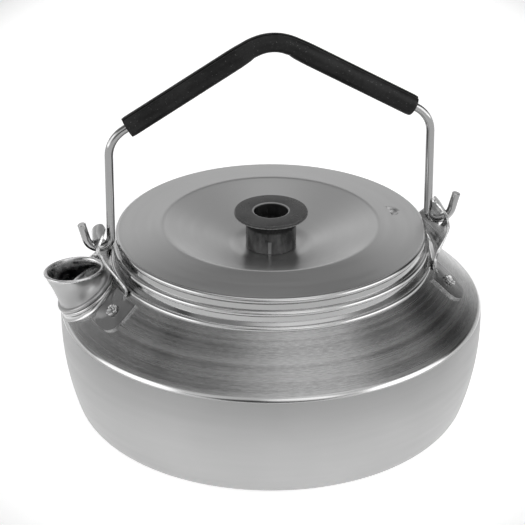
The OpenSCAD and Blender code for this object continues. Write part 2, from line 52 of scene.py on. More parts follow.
neck_bead, foot_bead_out, lip_bead_out = 1.1, 1.5, 0.3
bead_sunk, edge_round = 0.4, 0.15


def arc(centre, radius, start, end, steps):
    """Points of an arc in a plane, from one angle to another in degrees."""
    out = []
    for i in range(steps + 1):
        a = radians(start + (end - start) * i / steps)
        out.append(Vector((centre[0] + radius * cos(a), centre[1] + radius * sin(a))))
    return out


def round_corner(before, corner, after, radius, steps):
    """The corner of a section, rounded."""
    before, corner, after = Vector(before), Vector(corner), Vector(after)
    u, v = (before - corner).normalized(), (after - corner).normalized()
    half = math.acos(max(-1, min(1, u.dot(v)))) / 2
    centre = corner + (u + v).normalized() * radius / sin(half)
    start, end = corner + u * radius / tan(half), corner + v * radius / tan(half)
    a0 = degrees(atan2(start.y - centre.y, start.x - centre.x))
    a1 = degrees(atan2(end.y - centre.y, end.x - centre.x))
    turn = (a1 - a0 + 180) % 360 - 180
    return arc(centre, radius, a0, a0 + turn, steps)


def beside(path, gap):
    """The section moved sideways by the thickness of its sheet."""
    def side(p, q):
        d = (q - p).normalized()
        return Vector((d.y, -d.x))
    out = []
    for i, p in enumerate(path):
        a = side(path[max(i - 1, 0)], path[max(i, 1)])
        b = side(path[min(i, len(path) - 2)], path[min(i + 1, len(path) - 1)])
        out.append(p + (a + b) * gap / (1 + a.dot(b)))
    return out


def straight(p, q, steps):
    """Points along a straight stretch of the section, without its last one."""
    p, q = Vector(p), Vector(q)
    return [p.lerp(q, i / steps) for i in range(steps)]


def points(*places):
    """Corners of the section."""
    return [Vector(p) for p in places]


def skin(name, rings, finishes, coat=None, loop=True, sharp=38):
    """Sheet over closed rings of points in millimetres. coat[i] picks the finish after ring i."""
    shell = bmesh.new()
    grid = [[shell.verts.new(Vector(p) * mm) for p in ring] for ring in rings]
    around = len(rings[0])
    for i in range(len(rings) if loop else len(rings) - 1):
        a, b = grid[i], grid[(i + 1) % len(rings)]
        for k in range(around):
            n = (k + 1) % around
            face = shell.faces.new((a[k], a[n], b[n], b[k]))
            face.smooth = True
            face.material_index = coat[i] if coat else 0
    return finish_shell(name, shell, finishes, sharp)


def put(thing):
    """Stands a thing in the scene."""
    bpy.context.scene.collection.objects.link(thing)


def finish_shell(name, shell, finishes, sharp=38):
    """Welds a shell, turns its faces outward and makes it a piece of the kettle."""
    bmesh.ops.remove_doubles(shell, verts=shell.verts, dist=2e-7)
    bmesh.ops.dissolve_degenerate(shell, edges=shell.edges, dist=1e-8)
    bmesh.ops.recalc_face_normals(shell, faces=shell.faces)
    data = bpy.data.meshes.new(name)
    shell.to_mesh(data)
    shell.free()
    data.set_sharp_from_angle(angle=radians(sharp))
    for m in finishes:
        data.materials.append(m)
    piece = bpy.data.objects.new(name, data)
    put(piece)
    return piece


def spun(path, angles):
    """Rings of a section turned round the pot's axis."""
    return [[(p[0] * cos(a), p[0] * sin(a), p[1]) for a in angles] for p in path]


def even_turn(count):
    """Angles spread evenly over one turn."""
    return [2 * math.pi * k / count for k in range(count)]


def set_range(step, start, end, low, high):
    """Sets which range of values a node stretches to which."""
    for key, value in zip(("From Min", "From Max", "To Min", "To Max"), (start, end, low, high)):
        step.inputs[key].default_value = value


class Finish:
    """A metal or moulding with its own wear, built from shader nodes."""

    def __init__(self, name, tone, roughness, metallic=1.0):
        self.material = bpy.data.materials.new(name)
        self.material.use_nodes = True
        self.nodes, self.links = self.material.node_tree.nodes, self.material.node_tree.links
        self.shader = self.nodes["Principled BSDF"]
        self.shader.inputs["Base Color"].default_value = (tone, tone, tone, 1)
        self.shader.inputs["Roughness"].default_value = roughness
        self.shader.inputs["Metallic"].default_value = metallic
        self.place = self.nodes.new("ShaderNodeTexCoord").outputs["Object"]

    def node(self, kind, **settings):
        """A new shader node with its settings."""
        made = self.nodes.new("ShaderNode" + kind)
        for key, value in settings.items():
            setattr(made, key, value)
        return made

    def join(self, source, target):
        """Wires one socket to another."""
        self.links.new(source, target)

    def math(self, what, a, b):
        """One step of arithmetic, on fixed numbers or other steps."""
        step = self.node("Math", operation=what)
        for socket, value in zip(step.inputs, (a, b)):
            if isinstance(value, (int, float)):
                socket.default_value = value
            else:
                self.join(value, socket)
        return step.outputs[0]

    def vector(self, what, a, b=None):
        """One step of vector arithmetic. b may be a fixed vector or another step."""
        step = self.node("VectorMath", operation=what)
        self.join(a, step.inputs[0])
        if isinstance(b, (tuple, Vector)):
            step.inputs[1].default_value = b
        elif b is not None:
            self.join(b, step.inputs[1])
        return step.outputs["Value" if what == "LENGTH" else "Vector"]

    def from_axis(self):
        """The distance from the pot's axis, in metres."""
        return self.vector("LENGTH", self.vector("MULTIPLY", self.place, (1, 1, 0)))

    def height(self):
        """The height above the ground, in metres."""
        parts = self.node("SeparateXYZ")
        self.join(self.place, parts.inputs[0])
        return parts.outputs["Z"]

    def turned_place(self, around, across, up):
        """A place for lathe marks: slow round the axis, fast across the marks."""
        way = self.vector("NORMALIZE", self.vector("MULTIPLY", self.place, (1, 1, 0)))
        slow = self.vector("MULTIPLY", way, (around, around, around))
        fast = self.math("ADD", self.math("MULTIPLY", self.from_axis(), across),
                         self.math("MULTIPLY", self.height(), up))
        upright = self.node("CombineXYZ")
        self.join(fast, upright.inputs["Z"])
        return self.vector("ADD", slow, upright.outputs[0])

    def noise(self, place, scale, detail=2.0, rough=0.5):
        """Cloudy noise, the finer the larger its scale."""
        grain = self.node("TexNoise")
        self.join(place, grain.inputs["Vector"])
        grain.inputs["Scale"].default_value = scale
        grain.inputs["Detail"].default_value = detail
        grain.inputs["Roughness"].default_value = rough
        return grain.outputs["Fac"]

    def spread(self, value, low, high, start=0.3, end=0.7):
        """A value stretched from one range to another."""
        step = self.node("MapRange")
        self.join(value, step.inputs["Value"])
        set_range(step, start, end, low, high)
        return step.outputs["Result"]

    def polish(self, value, low, high):
        """Roughness that wanders between two values."""
        self.join(self.spread(value, low, high), self.shader.inputs["Roughness"])

    def tone(self, value):
        """The colour from a grey value."""
        mix = self.node("CombineColor")
        for key in ("Red", "Green", "Blue"):
            self.join(value, mix.inputs[key])
        self.join(mix.outputs["Color"], self.shader.inputs["Base Color"])

    def bump(self, value, depth):
        """Relief in millimetres, added over any already there."""
        relief = self.node("Bump")
        relief.inputs["Strength"].default_value = 1.0
        relief.inputs["Distance"].default_value = depth * mm
        self.join(value, relief.inputs["Height"])
        normal = self.shader.inputs["Normal"]
        if normal.is_linked:
            self.join(normal.links[0].from_socket, relief.inputs["Normal"])
        self.join(relief.outputs["Normal"], normal)

    def lathe_grain(self, amount):
        """Stretches reflections across the lathe marks."""
        self.shader.inputs["Anisotropic"].default_value = amount
        self.shader.inputs["Anisotropic Rotation"].default_value = 0.25
        way = self.node("Tangent", direction_type="RADIAL", axis="Z")
        self.join(way.outputs[0], self.shader.inputs["Tangent"])


satin = Finish("satin_spun_aluminium", 0.5, 0.42)
satin_rings = satin.noise(satin.turned_place(2.0, 0, 420), 1.0, 3)
satin_grain = satin.noise(satin.place, 5200, 1)
satin.polish(satin_rings, 0.38, 0.46)
satin.tone(satin.spread(satin.noise(satin.place, 30, 2), 0.42, 0.45))
satin.bump(satin_rings, 0.012)
satin.bump(satin_grain, 0.006)

brushed = Finish("brushed_shoulder", 0.5, 0.3)
brush_bands = brushed.noise(brushed.turned_place(0.2, 0, 620), 1.0, 3, 0.6)
brush_marks = brushed.noise(brushed.turned_place(26, 0, 5600), 1.0, 2, 0.6)
brushed.polish(brush_bands, 0.2, 0.32)
brushed.tone(brushed.math("ADD", brushed.spread(brush_bands, 0.35, 0.48),
                          brushed.spread(brush_marks, -0.08, 0.08)))
brushed.bump(brush_bands, 0.03)
brushed.bump(brush_marks, 0.014)
brushed.lathe_grain(0.4)

# Painted highlight: the burnished finish gets a lighter tone than the satin and brushed sheet, to
# brighten the ridge, the neck's beads and the collar.
burnished = Finish("burnished_neck_painted_highlight", 0.65, 0.22)
burnish_marks = burnished.noise(burnished.turned_place(1.5, 500, 900), 1.0, 2)
burnished.polish(burnish_marks, 0.12, 0.21)
burnished.bump(burnish_marks, 0.008)

inner = Finish("pot_inside", 0.5, 0.45)
inner_rings = inner.noise(inner.turned_place(1.5, 350, 350), 1.0, 2)
inner.polish(inner_rings, 0.38, 0.52)
inner.bump(inner_rings, 0.02)

bulge_x = pot_r - bulge_r
corner_c = Vector((bulge_x + sqrt((bulge_r - corner_r) ** 2 - (widest_z - corner_r) ** 2),
                   corner_r))
corner_a = degrees(atan2(corner_c.y - widest_z, corner_c.x - bulge_x))
ridge_a = degrees(math.asin((ridge_z - widest_z) / bulge_r))
ridge_x = bulge_x + bulge_r * cos(radians(ridge_a))
slope = atan2(neck_foot_z - ridge_z, ridge_x - neck_r)


def shoulder_z(r):
    """Height of the shoulder's slope at a distance from the axis."""
    return neck_foot_z - (r - neck_r) * tan(slope)


wall = arc((bulge_x, widest_z), bulge_r, corner_a, ridge_a, 36)
ridge = round_corner(wall[-2], (ridge_x, ridge_z), (neck_r, neck_foot_z), ridge_round, 12)
foot_bead_c = Vector((neck_r + foot_bead_out, shoulder_z(neck_r + foot_bead_out) - bead_sunk))
half_bead = degrees(math.acos(bead_sunk * cos(slope) / neck_bead))
normal_a = 90 - degrees(slope)
foot_bead = arc(foot_bead_c, neck_bead, normal_a - half_bead, normal_a + half_bead, 14)
lip_bead_c = Vector((neck_r + lip_bead_out, lip_z - neck_bead))
lip_a = 180 - degrees(math.acos(lip_bead_out / neck_bead))
lip_bead = arc(lip_bead_c, neck_bead, -lip_a, lip_a, 16)
wall_part = points((0, 0)) + straight((20, 0), (corner_c.x, 0), 4) + \
    arc(corner_c, corner_r, -90, corner_a, 16) + wall[1:-1]
shoulder_part = straight(ridge[-1], foot_bead[0], 18)[1:]
neck_part = foot_bead + points((neck_r, neck_foot_z), (neck_r, neck_foot_z + 0.4)) + \
    lip_bead + points((neck_r - edge_round, lip_z), (neck_r - pot_wall + edge_round, lip_z))
plain = points((0, 0), (corner_c.x, 0)) + arc(corner_c, corner_r, -90, corner_a, 10)[1:] + \
    wall[1:-1:3] + ridge[::3] + points((neck_r, neck_foot_z), (neck_r, lip_z - edge_round))
inside_part = list(reversed(beside(plain, -pot_wall)))
inside_part[-1].x = 0
pot_path = wall_part + ridge + shoulder_part + neck_part + inside_part
coat = [0] * len(wall_part) + [2] * (len(ridge) - 1) + [1] * (len(shoulder_part) + 1) + \
    [2] * len(neck_part) + [3] * len(inside_part)
pot = skin("pot_shell", spun(pot_path, even_turn(320)),
           [satin.material, brushed.material, burnished.material, inner.material], coat, loop=False)

collar_r, collar_tilt = 65.4, radians(35)
spout_hole_r = 10.0
collar_c = Vector((-collar_r, 0, shoulder_z(collar_r)))
collar_up = Vector((-sin(collar_tilt), 0, cos(collar_tilt)))
collar_down = Vector((-cos(collar_tilt), 0, -sin(collar_tilt)))
across = Vector((0, 1, 0))

drill = bmesh.new()
bmesh.ops.create_cone(drill, cap_ends=True, segments=96, radius1=spout_hole_r * mm,
                      radius2=spout_hole_r * mm, depth=30 * mm)
drill.transform(Matrix.Translation(collar_c * mm) @
                collar_up.to_track_quat("Z", "Y").to_matrix().to_4x4())
drill_mesh = bpy.data.meshes.new("spout_hole_drill")
drill.to_mesh(drill_mesh)
drill.free()
drill_bit = bpy.data.objects.new("spout_hole_drill", drill_mesh)
put(drill_bit)
hole = pot.modifiers.new("spout_hole", "BOOLEAN")
hole.operation, hole.solver, hole.object = "DIFFERENCE", "EXACT", drill_bit
bpy.context.view_layer.update()
drilled = bpy.data.meshes.new_from_object(pot.evaluated_get(bpy.context.evaluated_depsgraph_get()))
pot.modifiers.clear()
pot.data = drilled
bpy.data.objects.remove(drill_bit)
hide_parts("body")
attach(pot, "kettle")


# The collar: the shoulder's own sheet, drawn up round the spout's hole and rolled outward into a
# bead that the spout sits on. It is burnished by the rolling, and painted lighter like the neck, a
# painted highlight.
collar_bead, collar_wall, collar_h, fillet = 0.8, 1.2, 1.4, 1.3
collar_bead_r = spout_hole_r + collar_wall
collar_play, collar_edge, collar_root_z = 0.03, 0.2, -3.0
root_in, root_sunk, root_lap = 0.25, 0.04, 0.3


def on_collar(radius, angle, height):
    """A point round the collar's own axis."""
    return collar_c + collar_down * (radius * cos(angle)) + across * (radius * sin(angle)) + \
        collar_up * height


def shoulder_height(radius, angle):
    """How high the shoulder stands there, along the collar's axis."""
    height = 0.0
    for _ in range(12):
        p = on_collar(radius, angle, height)
        height += (shoulder_z(hypot(p.x, p.y)) - p.z) * 0.75
    return height


collar_rings = []
collar_angles = even_turn(128)
root_r = collar_bead_r + collar_bead - root_in
for t in range(9):
    a = radians(90 * t / 8)
    reach, lift = root_r + fillet * (1 - sin(a)), fillet * (1 - cos(a)) - root_sunk
    top = collar_h - collar_bead + root_lap
    collar_rings.append([on_collar(reach, k, min(shoulder_height(reach, k) + lift, top))
                         for k in collar_angles])
for p in arc((collar_bead_r, collar_h - collar_bead), collar_bead, -40, 90, 14):
    collar_rings.append([on_collar(p.x, k, p.y) for k in collar_angles])
for radius, height in ((spout_hole_r + collar_edge, collar_h),
                       (spout_hole_r + collar_play, collar_h - collar_edge),
                       (spout_hole_r + collar_play, collar_root_z)):
    collar_rings.append([on_collar(radius, k, height) for k in collar_angles])
collar = skin("spout_collar", collar_rings, [burnished.material], loop=False)
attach(collar, "kettle")


# The spout: one short flared aluminium tube, beaded where it sits on the collar. Its tail is pushed
# through the shoulder's hole, and its mouth is rolled over into a thin edge. It is satin outside,
# and its bore is streaked as drawn and painted lighter, painted light that brightens the inside.
spout_wall, tail_play, tail_depth = 0.9, 0.1, 2.6
tail_r = spout_hole_r - tail_play
spout_bead_h = collar_h + collar_bead
foot_r, waist_r = 10.6, 8.4
mouth_r, mouth_stretch, mouth_edge = 9.0, 1.16, 1.2
mouth_c = Vector((-70.4, 0, 59.4))
mouth_tilt = radians(5)
tube_foot = collar_c + collar_up * (spout_bead_h + collar_bead)
tube_turn = tube_foot + collar_up * (mouth_c - tube_foot).length * 0.5

satin_spout = Finish("satin_spout", 0.5, 0.38)
spout_draw = satin_spout.noise(satin_spout.place, 260, 3)
satin_spout.polish(spout_draw, 0.32, 0.44)
satin_spout.bump(spout_draw, 0.03)
satin_spout.bump(satin_spout.noise(satin_spout.place, 2600, 2), 0.004)

# Painted light: the bore gets a lighter tone than the satin outside, so the inside of the spout
# reads brighter.
drawn_bore_painted_light = Finish("drawn_spout_bore_painted_light", 0.74, 0.22)
bore_streaks = drawn_bore_painted_light.noise(drawn_bore_painted_light.place, 420, 3)
drawn_bore_painted_light.polish(bore_streaks, 0.14, 0.34)
drawn_bore_painted_light.tone(drawn_bore_painted_light.spread(bore_streaks, 0.66, 0.84))
drawn_bore_painted_light.bump(bore_streaks, 0.05)


def spout_ring(centre, radius, tilt, stretch=1.0):
    """A ring round the spout, level when its tilt is nought."""
    down = Vector((-cos(tilt), 0, -sin(tilt)))
    return [centre + down * (radius * stretch * cos(k)) + across * (radius * sin(k))
            for k in spout_angles]


def tube_ring(u, inset=0.0):
    """A ring of the tube, from its foot at 0 to its mouth at 1."""
    middle = tube_foot * (1 - u) ** 2 + tube_turn * 2 * u * (1 - u) + mouth_c * u * u
    radius = waist_r + (foot_r - waist_r) * (1 - u) ** 2.5 + (mouth_r - waist_r) * u ** 2
    return spout_ring(middle, radius - inset, collar_tilt + (mouth_tilt - collar_tilt) * u,
                      1 + (mouth_stretch - 1) * u)


spout_angles = even_turn(128)
mouth_up = Vector((-sin(mouth_tilt), 0, cos(mouth_tilt)))
spout_rings = [spout_ring(collar_c - collar_up * tail_depth, tail_r, collar_tilt),
               spout_ring(collar_c + collar_up * (collar_h + 0.1), tail_r, collar_tilt)]
for p in arc((collar_bead_r - tail_play, spout_bead_h), collar_bead, -75, 62, 14):
    spout_rings.append(spout_ring(collar_c + collar_up * p.y, p.x, collar_tilt))
spout_rings += [tube_ring(i / 24) for i in range(24)]
lip_start = len(spout_rings)
for p in arc((0, 0), 1, -60, 150, 14):
    lip_c = mouth_c + mouth_up * (mouth_edge / 2 * (1 + p.y))
    lip_r = mouth_r + mouth_edge * (p.x - 0.4) / 2
    spout_rings.append(spout_ring(lip_c, lip_r, mouth_tilt, mouth_stretch))
spout_rings += [tube_ring(i / 24, spout_wall) for i in range(23, -1, -1)]
spout_rings += [spout_ring(collar_c + collar_up * collar_h, tail_r - spout_wall, collar_tilt),
                spout_ring(collar_c - collar_up * tail_depth, tail_r - spout_wall, collar_tilt)]
spout_coat = [1 if i >= lip_start + 2 else 0 for i in range(len(spout_rings))]
spout = skin("flared_spout", spout_rings, [satin_spout.material, drawn_bore_painted_light.material], spout_coat)
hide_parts("spout")
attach(spout, "kettle")


# The ears: two alike, each stamped from 0.8 mm stainless sheet, bellied outward and polished, with
# a hole for the bail's hook, an arch between its legs and a foot bent out from each leg onto the
# shoulder. The edges of the cut sheet are tumbled round and painted lighter than the sheet, a
# painted highlight.
ear_t = 0.8
ear_foot_r, ear_belly, belly_h, ear_h, tip_out = 57.8, 4.8, 12.6, 17.6, 1.2
tongue_half, tongue_h, neck_half, leg_half, side_swell = 7.2, 4.8, 9.6, 15.4, 0.8
leg_w, leg_h, arch_h = 6.9, 3.0, 3.0
foot_w, foot_len, foot_round, foot_gap, foot_bend = 14.6, 14.2, 5.4, 2.3, 1.8
notch_r, notch_x, notch_y, ear_edge = 0.7, 0.9, 0.3, 0.14
foot_turn = math.asin((collar_bead_r + collar_bead + foot_gap + foot_w / 2) / collar_r)
ear_foot_z = shoulder_z(ear_foot_r)
rise_z, belly_z, tip_z = ear_foot_z + 1.6, ear_foot_z + belly_h, ear_foot_z + ear_h
root_z, tongue_z = rise_z + 0.2, tip_z - tongue_h
arch_top = ear_foot_z + arch_h
arch_half = ear_foot_r * sin(foot_turn) - foot_w / 2 * cos(foot_turn) + 0.4
leg_out = arch_half + leg_w
hinge_z, hook_hole_r = 68.344, 2.7

stainless = Finish("polished_stainless", 0.36, 0.16)
steel_scuffs = stainless.noise(stainless.place, 700, 3)
stainless.polish(steel_scuffs, 0.1, 0.22)
stainless.bump(stainless.noise(stainless.place, 160, 2), 0.03)
stainless.bump(stainless.noise(stainless.place, 90, 1), 0.6)

# Painted highlight: the sheet's cut edges get a much lighter tone than its faces, flecked by the
# nicks.
cut_edge_painted_highlight = Finish("tumbled_sheet_edge_painted_highlight", 0.8, 0.24)
edge_nicks = cut_edge_painted_highlight.noise(cut_edge_painted_highlight.place, 2200, 2)
cut_edge_painted_highlight.tone(cut_edge_painted_highlight.spread(edge_nicks, 0.62, 0.9))
cut_edge_painted_highlight.bump(edge_nicks, 0.03)


def ear_r(z):
    """How far out the inner face of an ear stands at a height."""
    if z < belly_z:
        return ear_foot_r + ear_belly * (1 - cos(math.pi * (z - rise_z) / (belly_z - rise_z))) / 2
    return ear_foot_r + ear_belly - (ear_belly - tip_out) * ((z - belly_z) / (tip_z - belly_z)) ** 2


def half_width(z):
    """Half the width of an ear at a height."""
    if z >= tongue_z:
        return tongue_half * sqrt(max(0, 1 - ((z - tongue_z) / (tip_z - tongue_z)) ** 2))
    line = [(root_z, leg_out), (root_z + 1.4, leg_out - 0.2)]
    for u in (i / 8 for i in range(8)):
        line.append((root_z + leg_h + (tongue_z - root_z - leg_h) * u,
                     leg_half + (neck_half - leg_half) * u + 4 * side_swell * u * (1 - u)))
    line += [(tongue_z - 0.2, tongue_half + 0.6), (tongue_z, tongue_half)]
    for (z0, w0), (z1, w1) in zip(line, line[1:]):
        if z <= z1:
            return w0 + (w1 - w0) * (z - z0) / (z1 - z0)


def inner_edge(z):
    """Half the width of what is cut away at a height: the hook's hole, or the arch below it."""
    if abs(z - hinge_z) < hook_hole_r:
        return sqrt(hook_hole_r ** 2 - (z - hinge_z) ** 2)
    rise = (z - root_z) / (arch_top - root_z)
    return arch_half * sqrt(1 - rise ** 2) if rise < 1 else 0.0


def ear(name, node, way):
    """One ear, at the far side for way 1 and over the spout for way -1."""
    # Heights from the tip down: the tongue, past the hook's hole, and round the arch
    hole_top, hole_foot = hinge_z + hook_hole_r, hinge_z - hook_hole_r
    heights = [tip_z - tongue_h * (1 - cos(radians(a))) for a in range(0, 91, 6)]
    heights = [z for z in heights if z > hole_top + 0.01]
    heights += [hinge_z + hook_hole_r * cos(radians(a)) for a in range(0, 181, 9)]
    heights += [hole_foot + (arch_top - hole_foot) * i / 6 for i in range(1, 6)]
    heights += [root_z + (arch_top - root_z) * cos(radians(a)) for a in range(0, 91, 6)]
    columns = 12
    shell = bmesh.new()

    def point(r, z, turn):
        return shell.verts.new(Vector((r * cos(turn), r * sin(turn), z)) * mm)

    # Half of the upright sheet, the bend below it, and the foot with its notch beside the bend
    rows = []
    for z in heights:
        r, lo, hi = ear_r(z), inner_edge(z), half_width(z)
        rows.append([point(r, z, math.asin((lo + (hi - lo) * j / columns) / r))
                     for j in range(columns + 1)])
    leg_y = [-foot_w / 2 + leg_w * j / columns for j in range(columns + 1)]
    bend = round_corner((ear_foot_r, rise_z), (ear_foot_r, ear_foot_z),
                        (ear_foot_r + 3, shoulder_z(ear_foot_r + 3)), foot_bend, 8)
    for n, p in enumerate(bend):
        rows.append([])
        blend = (n + 1) / len(bend)
        for j in range(columns + 1):
            up_turn = math.asin((arch_half + leg_w * j / columns) / p.x)
            foot = foot_turn + math.asin(leg_y[j] / p.x)
            rows[-1].append(point(p.x, p.y, up_turn + (foot - up_turn) * blend))
    start = (bend[-1].x - ear_foot_r) / cos(slope)
    past_notch = notch_y + notch_r
    foot_y = leg_y + [0.0, 0.3, 0.6, 0.85]
    foot_y += [past_notch + (foot_w / 2 - past_notch) * j / 10 for j in range(11)]
    foot_rows = []
    for v in range(17):
        row = []
        for j, y in enumerate(foot_y):
            if v == 0 and j <= columns:
                row.append(rows[-1][j])
                continue
            notch = notch_x + sqrt(max(0, notch_r ** 2 - (y - notch_y) ** 2))
            begin = start if j <= columns else max(start, notch)
            corner = abs(y) - (foot_w / 2 - foot_round)
            end = foot_len - foot_round + sqrt(max(0, foot_round ** 2 - max(0, corner) ** 2))
            x = begin + (end - begin) * sin(radians(90 * v / 16))
            r = ear_foot_r + x * cos(slope)
            row.append(point(r, shoulder_z(r), foot_turn + math.asin(y / r)))
        foot_rows.append(row)
    for grid in (rows, foot_rows):
        for a, b in zip(grid, grid[1:]):
            for j in range(len(a) - 1):
                shell.faces.new((a[j], a[j + 1], b[j + 1], b[j])).smooth = True
    # The other half, the half turn for the spout's side, and the sheet's thickness
    mirrored = bmesh.ops.duplicate(shell, geom=shell.verts[:] + shell.edges[:] + shell.faces[:])
    for v in [g for g in mirrored["geom"] if isinstance(g, bmesh.types.BMVert)]:
        v.co.y = -v.co.y
    if way < 0:
        for v in shell.verts:
            v.co.x, v.co.y = -v.co.x, -v.co.y
    piece = finish_shell(name, shell, [stainless.material, cut_edge_painted_highlight.material], 60)
    if sum(p.normal.x * p.center.x + p.normal.y * p.center.y for p in piece.data.polygons) < 0:
        piece.data.flip_normals()
    sheet = piece.modifiers.new("sheet", "SOLIDIFY")
    sheet.thickness, sheet.offset, sheet.use_even_offset = ear_t * mm, 1.0, True
    sheet.material_offset_rim = 1
    edge = piece.modifiers.new("tumbled_edge", "BEVEL")
    edge.width, edge.segments = ear_edge * mm, 2
    edge.limit_method, edge.angle_limit = "ANGLE", radians(50)
    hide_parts(node)
    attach(piece, "kettle")


ear("far_ear_sheet", "far_side_ear", 1)
ear("spout_ear_sheet", "spout_side_ear", -1)


# The rivets: four tubular aluminium rivets, one through each foot and the shoulder, with a round
# head inside the pot and a tail outside that the setting tool split and curled into five petals.
rivet_down, tail_r_out, tail_h, tail_curl = 7.0, 2.4, 1.3, 0.55
pin_r, head_r, head_h, head_round = 1.6, 3.2, 1.1, 0.7
petal_angle, split_wide, split_in, split_deep = 72, 9, 0.2, 0.45
rivet_r = ear_foot_r + rivet_down * cos(slope)
head_z = -pot_wall - 0.08

bright = Finish("bright_rivet_aluminium", 0.5, 0.16)
rivet_dents = bright.noise(bright.place, 1500, 2)
bright.polish(rivet_dents, 0.1, 0.24)
bright.bump(rivet_dents, 0.06)

for node, turn in (("rivet_spout_front", math.pi + foot_turn),
                   ("rivet_spout_back", math.pi - foot_turn),
                   ("rivet_far_front", -foot_turn), ("rivet_far_back", foot_turn)):
    seat = Matrix.Rotation(turn, 4, "Z") @ Matrix.Translation((rivet_r, 0, shoulder_z(rivet_r))) @ \
        Matrix.Rotation(slope, 4, "Y")
    # From the head's middle inside the pot, along the pin, to the hollow of the tail outside
    section = [(0.001, head_z - head_h), (pin_r, head_z - head_h + 0.02)]
    section += [tuple(p) for p in arc((head_r - head_round, head_z - head_h + head_round),
                                      head_round, -90, 0, 6)]
    section += [(head_r, head_z), (pin_r, head_z), (pin_r, ear_t + 0.01), (2.1, ear_t + 0.01)]
    petals = len(section)
    section += [tuple(p) for p in arc((tail_r_out - tail_curl, ear_t + tail_h - tail_curl - 0.03),
                                      tail_curl, -70, 110, 10)]
    section += [(1.2, ear_t + 0.75), (0.8, ear_t + 0.15), (0.001, ear_t + 0.1)]
    rings = []
    for i, (r, h) in enumerate(section):
        ring = []
        for k in even_turn(60):
            from_split = abs((degrees(k) + petal_angle / 2) % petal_angle - petal_angle / 2)
            cut = math.exp(-(from_split / split_wide) ** 2)
            curled = petals - 1 <= i < len(section) - 2
            reach = r * (1 - split_in * cut) if curled else r
            up = h - (split_deep * cut * (h > ear_t + 0.5) if curled else 0)
            ring.append(seat @ Vector((reach * cos(k), reach * sin(k), up)))
        rings.append(ring)
    rivet = skin(node + "_crimped", rings, [bright.material], loop=False, sharp=50)
    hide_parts(node)
    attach(rivet, "kettle")


# The lid: one disc pressed from thin aluminium, dished for the knob, with a skirt that plugs into
# the neck and a rolled rim over the neck's lip. A steam vent is lanced through it and pressed down.
lid_wall, rim_r, band_h, lid_r = 0.8, 1.15, 2.2, 55.1
crest_r, crest_h, dish_h, dish_floor_r, dish_bend, crest_bend = 38.1, 2.3, 8.6, 13.0, 18, 4
skirt_h, skirt_gap, skirt_edge, skirt_chamfer, band_edge = 7.8, 0.3, 0.2, 0.25, 0.12
band_r, vent_run = neck_r, 5
rim_c = Vector((lid_r - rim_r, lip_z + band_h + rim_r))
rim_top = rim_c.y + rim_r
crest_z = rim_top + crest_h
floor_z = crest_z - dish_h
shank_r, shank_hole_r = 7.4, 7.5
vent_dist, vent_half, vent_h, vent_turn = 43.6, 3.7, 1.8, radians(4)

lid_metal = Finish("satin_pressed_lid", 0.5, 0.3)
lid_rings = lid_metal.noise(lid_metal.turned_place(1.2, 600, 300), 1.0, 3)
lid_metal.polish(lid_rings, 0.29, 0.35)
lid_metal.tone(lid_metal.spread(lid_metal.noise(lid_metal.place, 24, 2), 0.59, 0.62))
lid_metal.bump(lid_rings, 0.006)
lid_metal.bump(lid_metal.noise(lid_metal.place, 4200, 1), 0.002)
lid_metal.lathe_grain(0.25)

fall = crest_h / (rim_c.x - crest_r)
top_path = points((shank_hole_r, floor_z))
top_path += round_corner((shank_hole_r, floor_z), (dish_floor_r, floor_z), (crest_r, crest_z),
                         dish_bend, 16)
slope_end = round_corner((dish_floor_r, floor_z), (crest_r, crest_z), (rim_c.x, rim_top),
                         crest_bend, 14)
top_path += straight(top_path[-1], slope_end[0], 10)[1:] + slope_end
vent_z = rim_top + (rim_c.x - vent_dist) * fall
inner_top = top_path + straight(top_path[-1], (vent_dist, vent_z), 5)[1:] + \
    points((vent_dist, vent_z))
past_vent = (vent_dist + vent_run, vent_z - vent_run * fall)
outer_top = straight((vent_dist, vent_z), past_vent, 14) + \
    straight(past_vent, (rim_c.x, rim_top), 5)
inner_under = list(reversed(beside(inner_top, lid_wall)))
skirt_out_r = neck_r - pot_wall - skirt_gap
skirt_in_r = skirt_out_r - lid_wall
under_slope_z = rim_top - lid_wall + (rim_c.x - skirt_in_r) * fall
skirt_z = lip_z - skirt_h
edge_path = arc(rim_c, rim_r, 90, -66, 16) + points(
    (band_r, rim_c.y - rim_r + 0.1), (band_r, lip_z + band_edge), (band_r - band_edge, lip_z),
    (skirt_out_r, lip_z), (skirt_out_r, skirt_z + skirt_edge),
    (skirt_out_r - skirt_chamfer, skirt_z), (skirt_in_r + skirt_edge, skirt_z),
    (skirt_in_r, skirt_z + skirt_edge), (skirt_in_r, under_slope_z))
# The sheet slopes here, so straight down it is a little thicker than across
outer_under = list(reversed([p - Vector((0, lid_wall * 1.01)) for p in outer_top
                             if p.x < skirt_in_r - 1]))
# Close together across the vent, and wider apart round the rest of the lid
lid_angles = [vent_turn + radians(a) for a in
              [x * 0.25 for x in range(-28, 29)] + [8 + x * 1.2 for x in range(287)]]


def pressed(p, turn):
    """How deep the vent is pressed there."""
    u, v = p[0] * cos(turn) - vent_dist, p[0] * sin(turn)
    ball = (vent_half ** 2 + vent_h ** 2) / (2 * vent_h)
    left = ball ** 2 - u ** 2 - v ** 2
    return max(0.0, sqrt(left) - (ball - vent_h)) if u > -0.001 and left > 0 else 0.0


def lid_ring(p, press):
    """One ring of the lid, pressed down at the vent if it crosses it."""
    ring = []
    for a in lid_angles:
        sunk = pressed(p, a - vent_turn) if press else 0
        ring.append(Vector((p[0] * cos(a), p[0] * sin(a), p[1] - sunk)))
    return ring


lid_shell = bmesh.new()
chains = [(inner_top, False, 0), (outer_top, True, 0), (edge_path, False, 1),
          (outer_under, True, 2), (inner_under, False, 2)]
laid = [[[lid_shell.verts.new(q * mm) for q in lid_ring(p, press)] for p in path]
        for path, press, _ in chains]


def lay(a, b, slot_number):
    """Sheet between two rings of the lid."""
    for k in range(len(a)):
        n = (k + 1) % len(a)
        face = lid_shell.faces.new((a[k], a[n], b[n], b[k]))
        face.smooth, face.material_index = True, slot_number


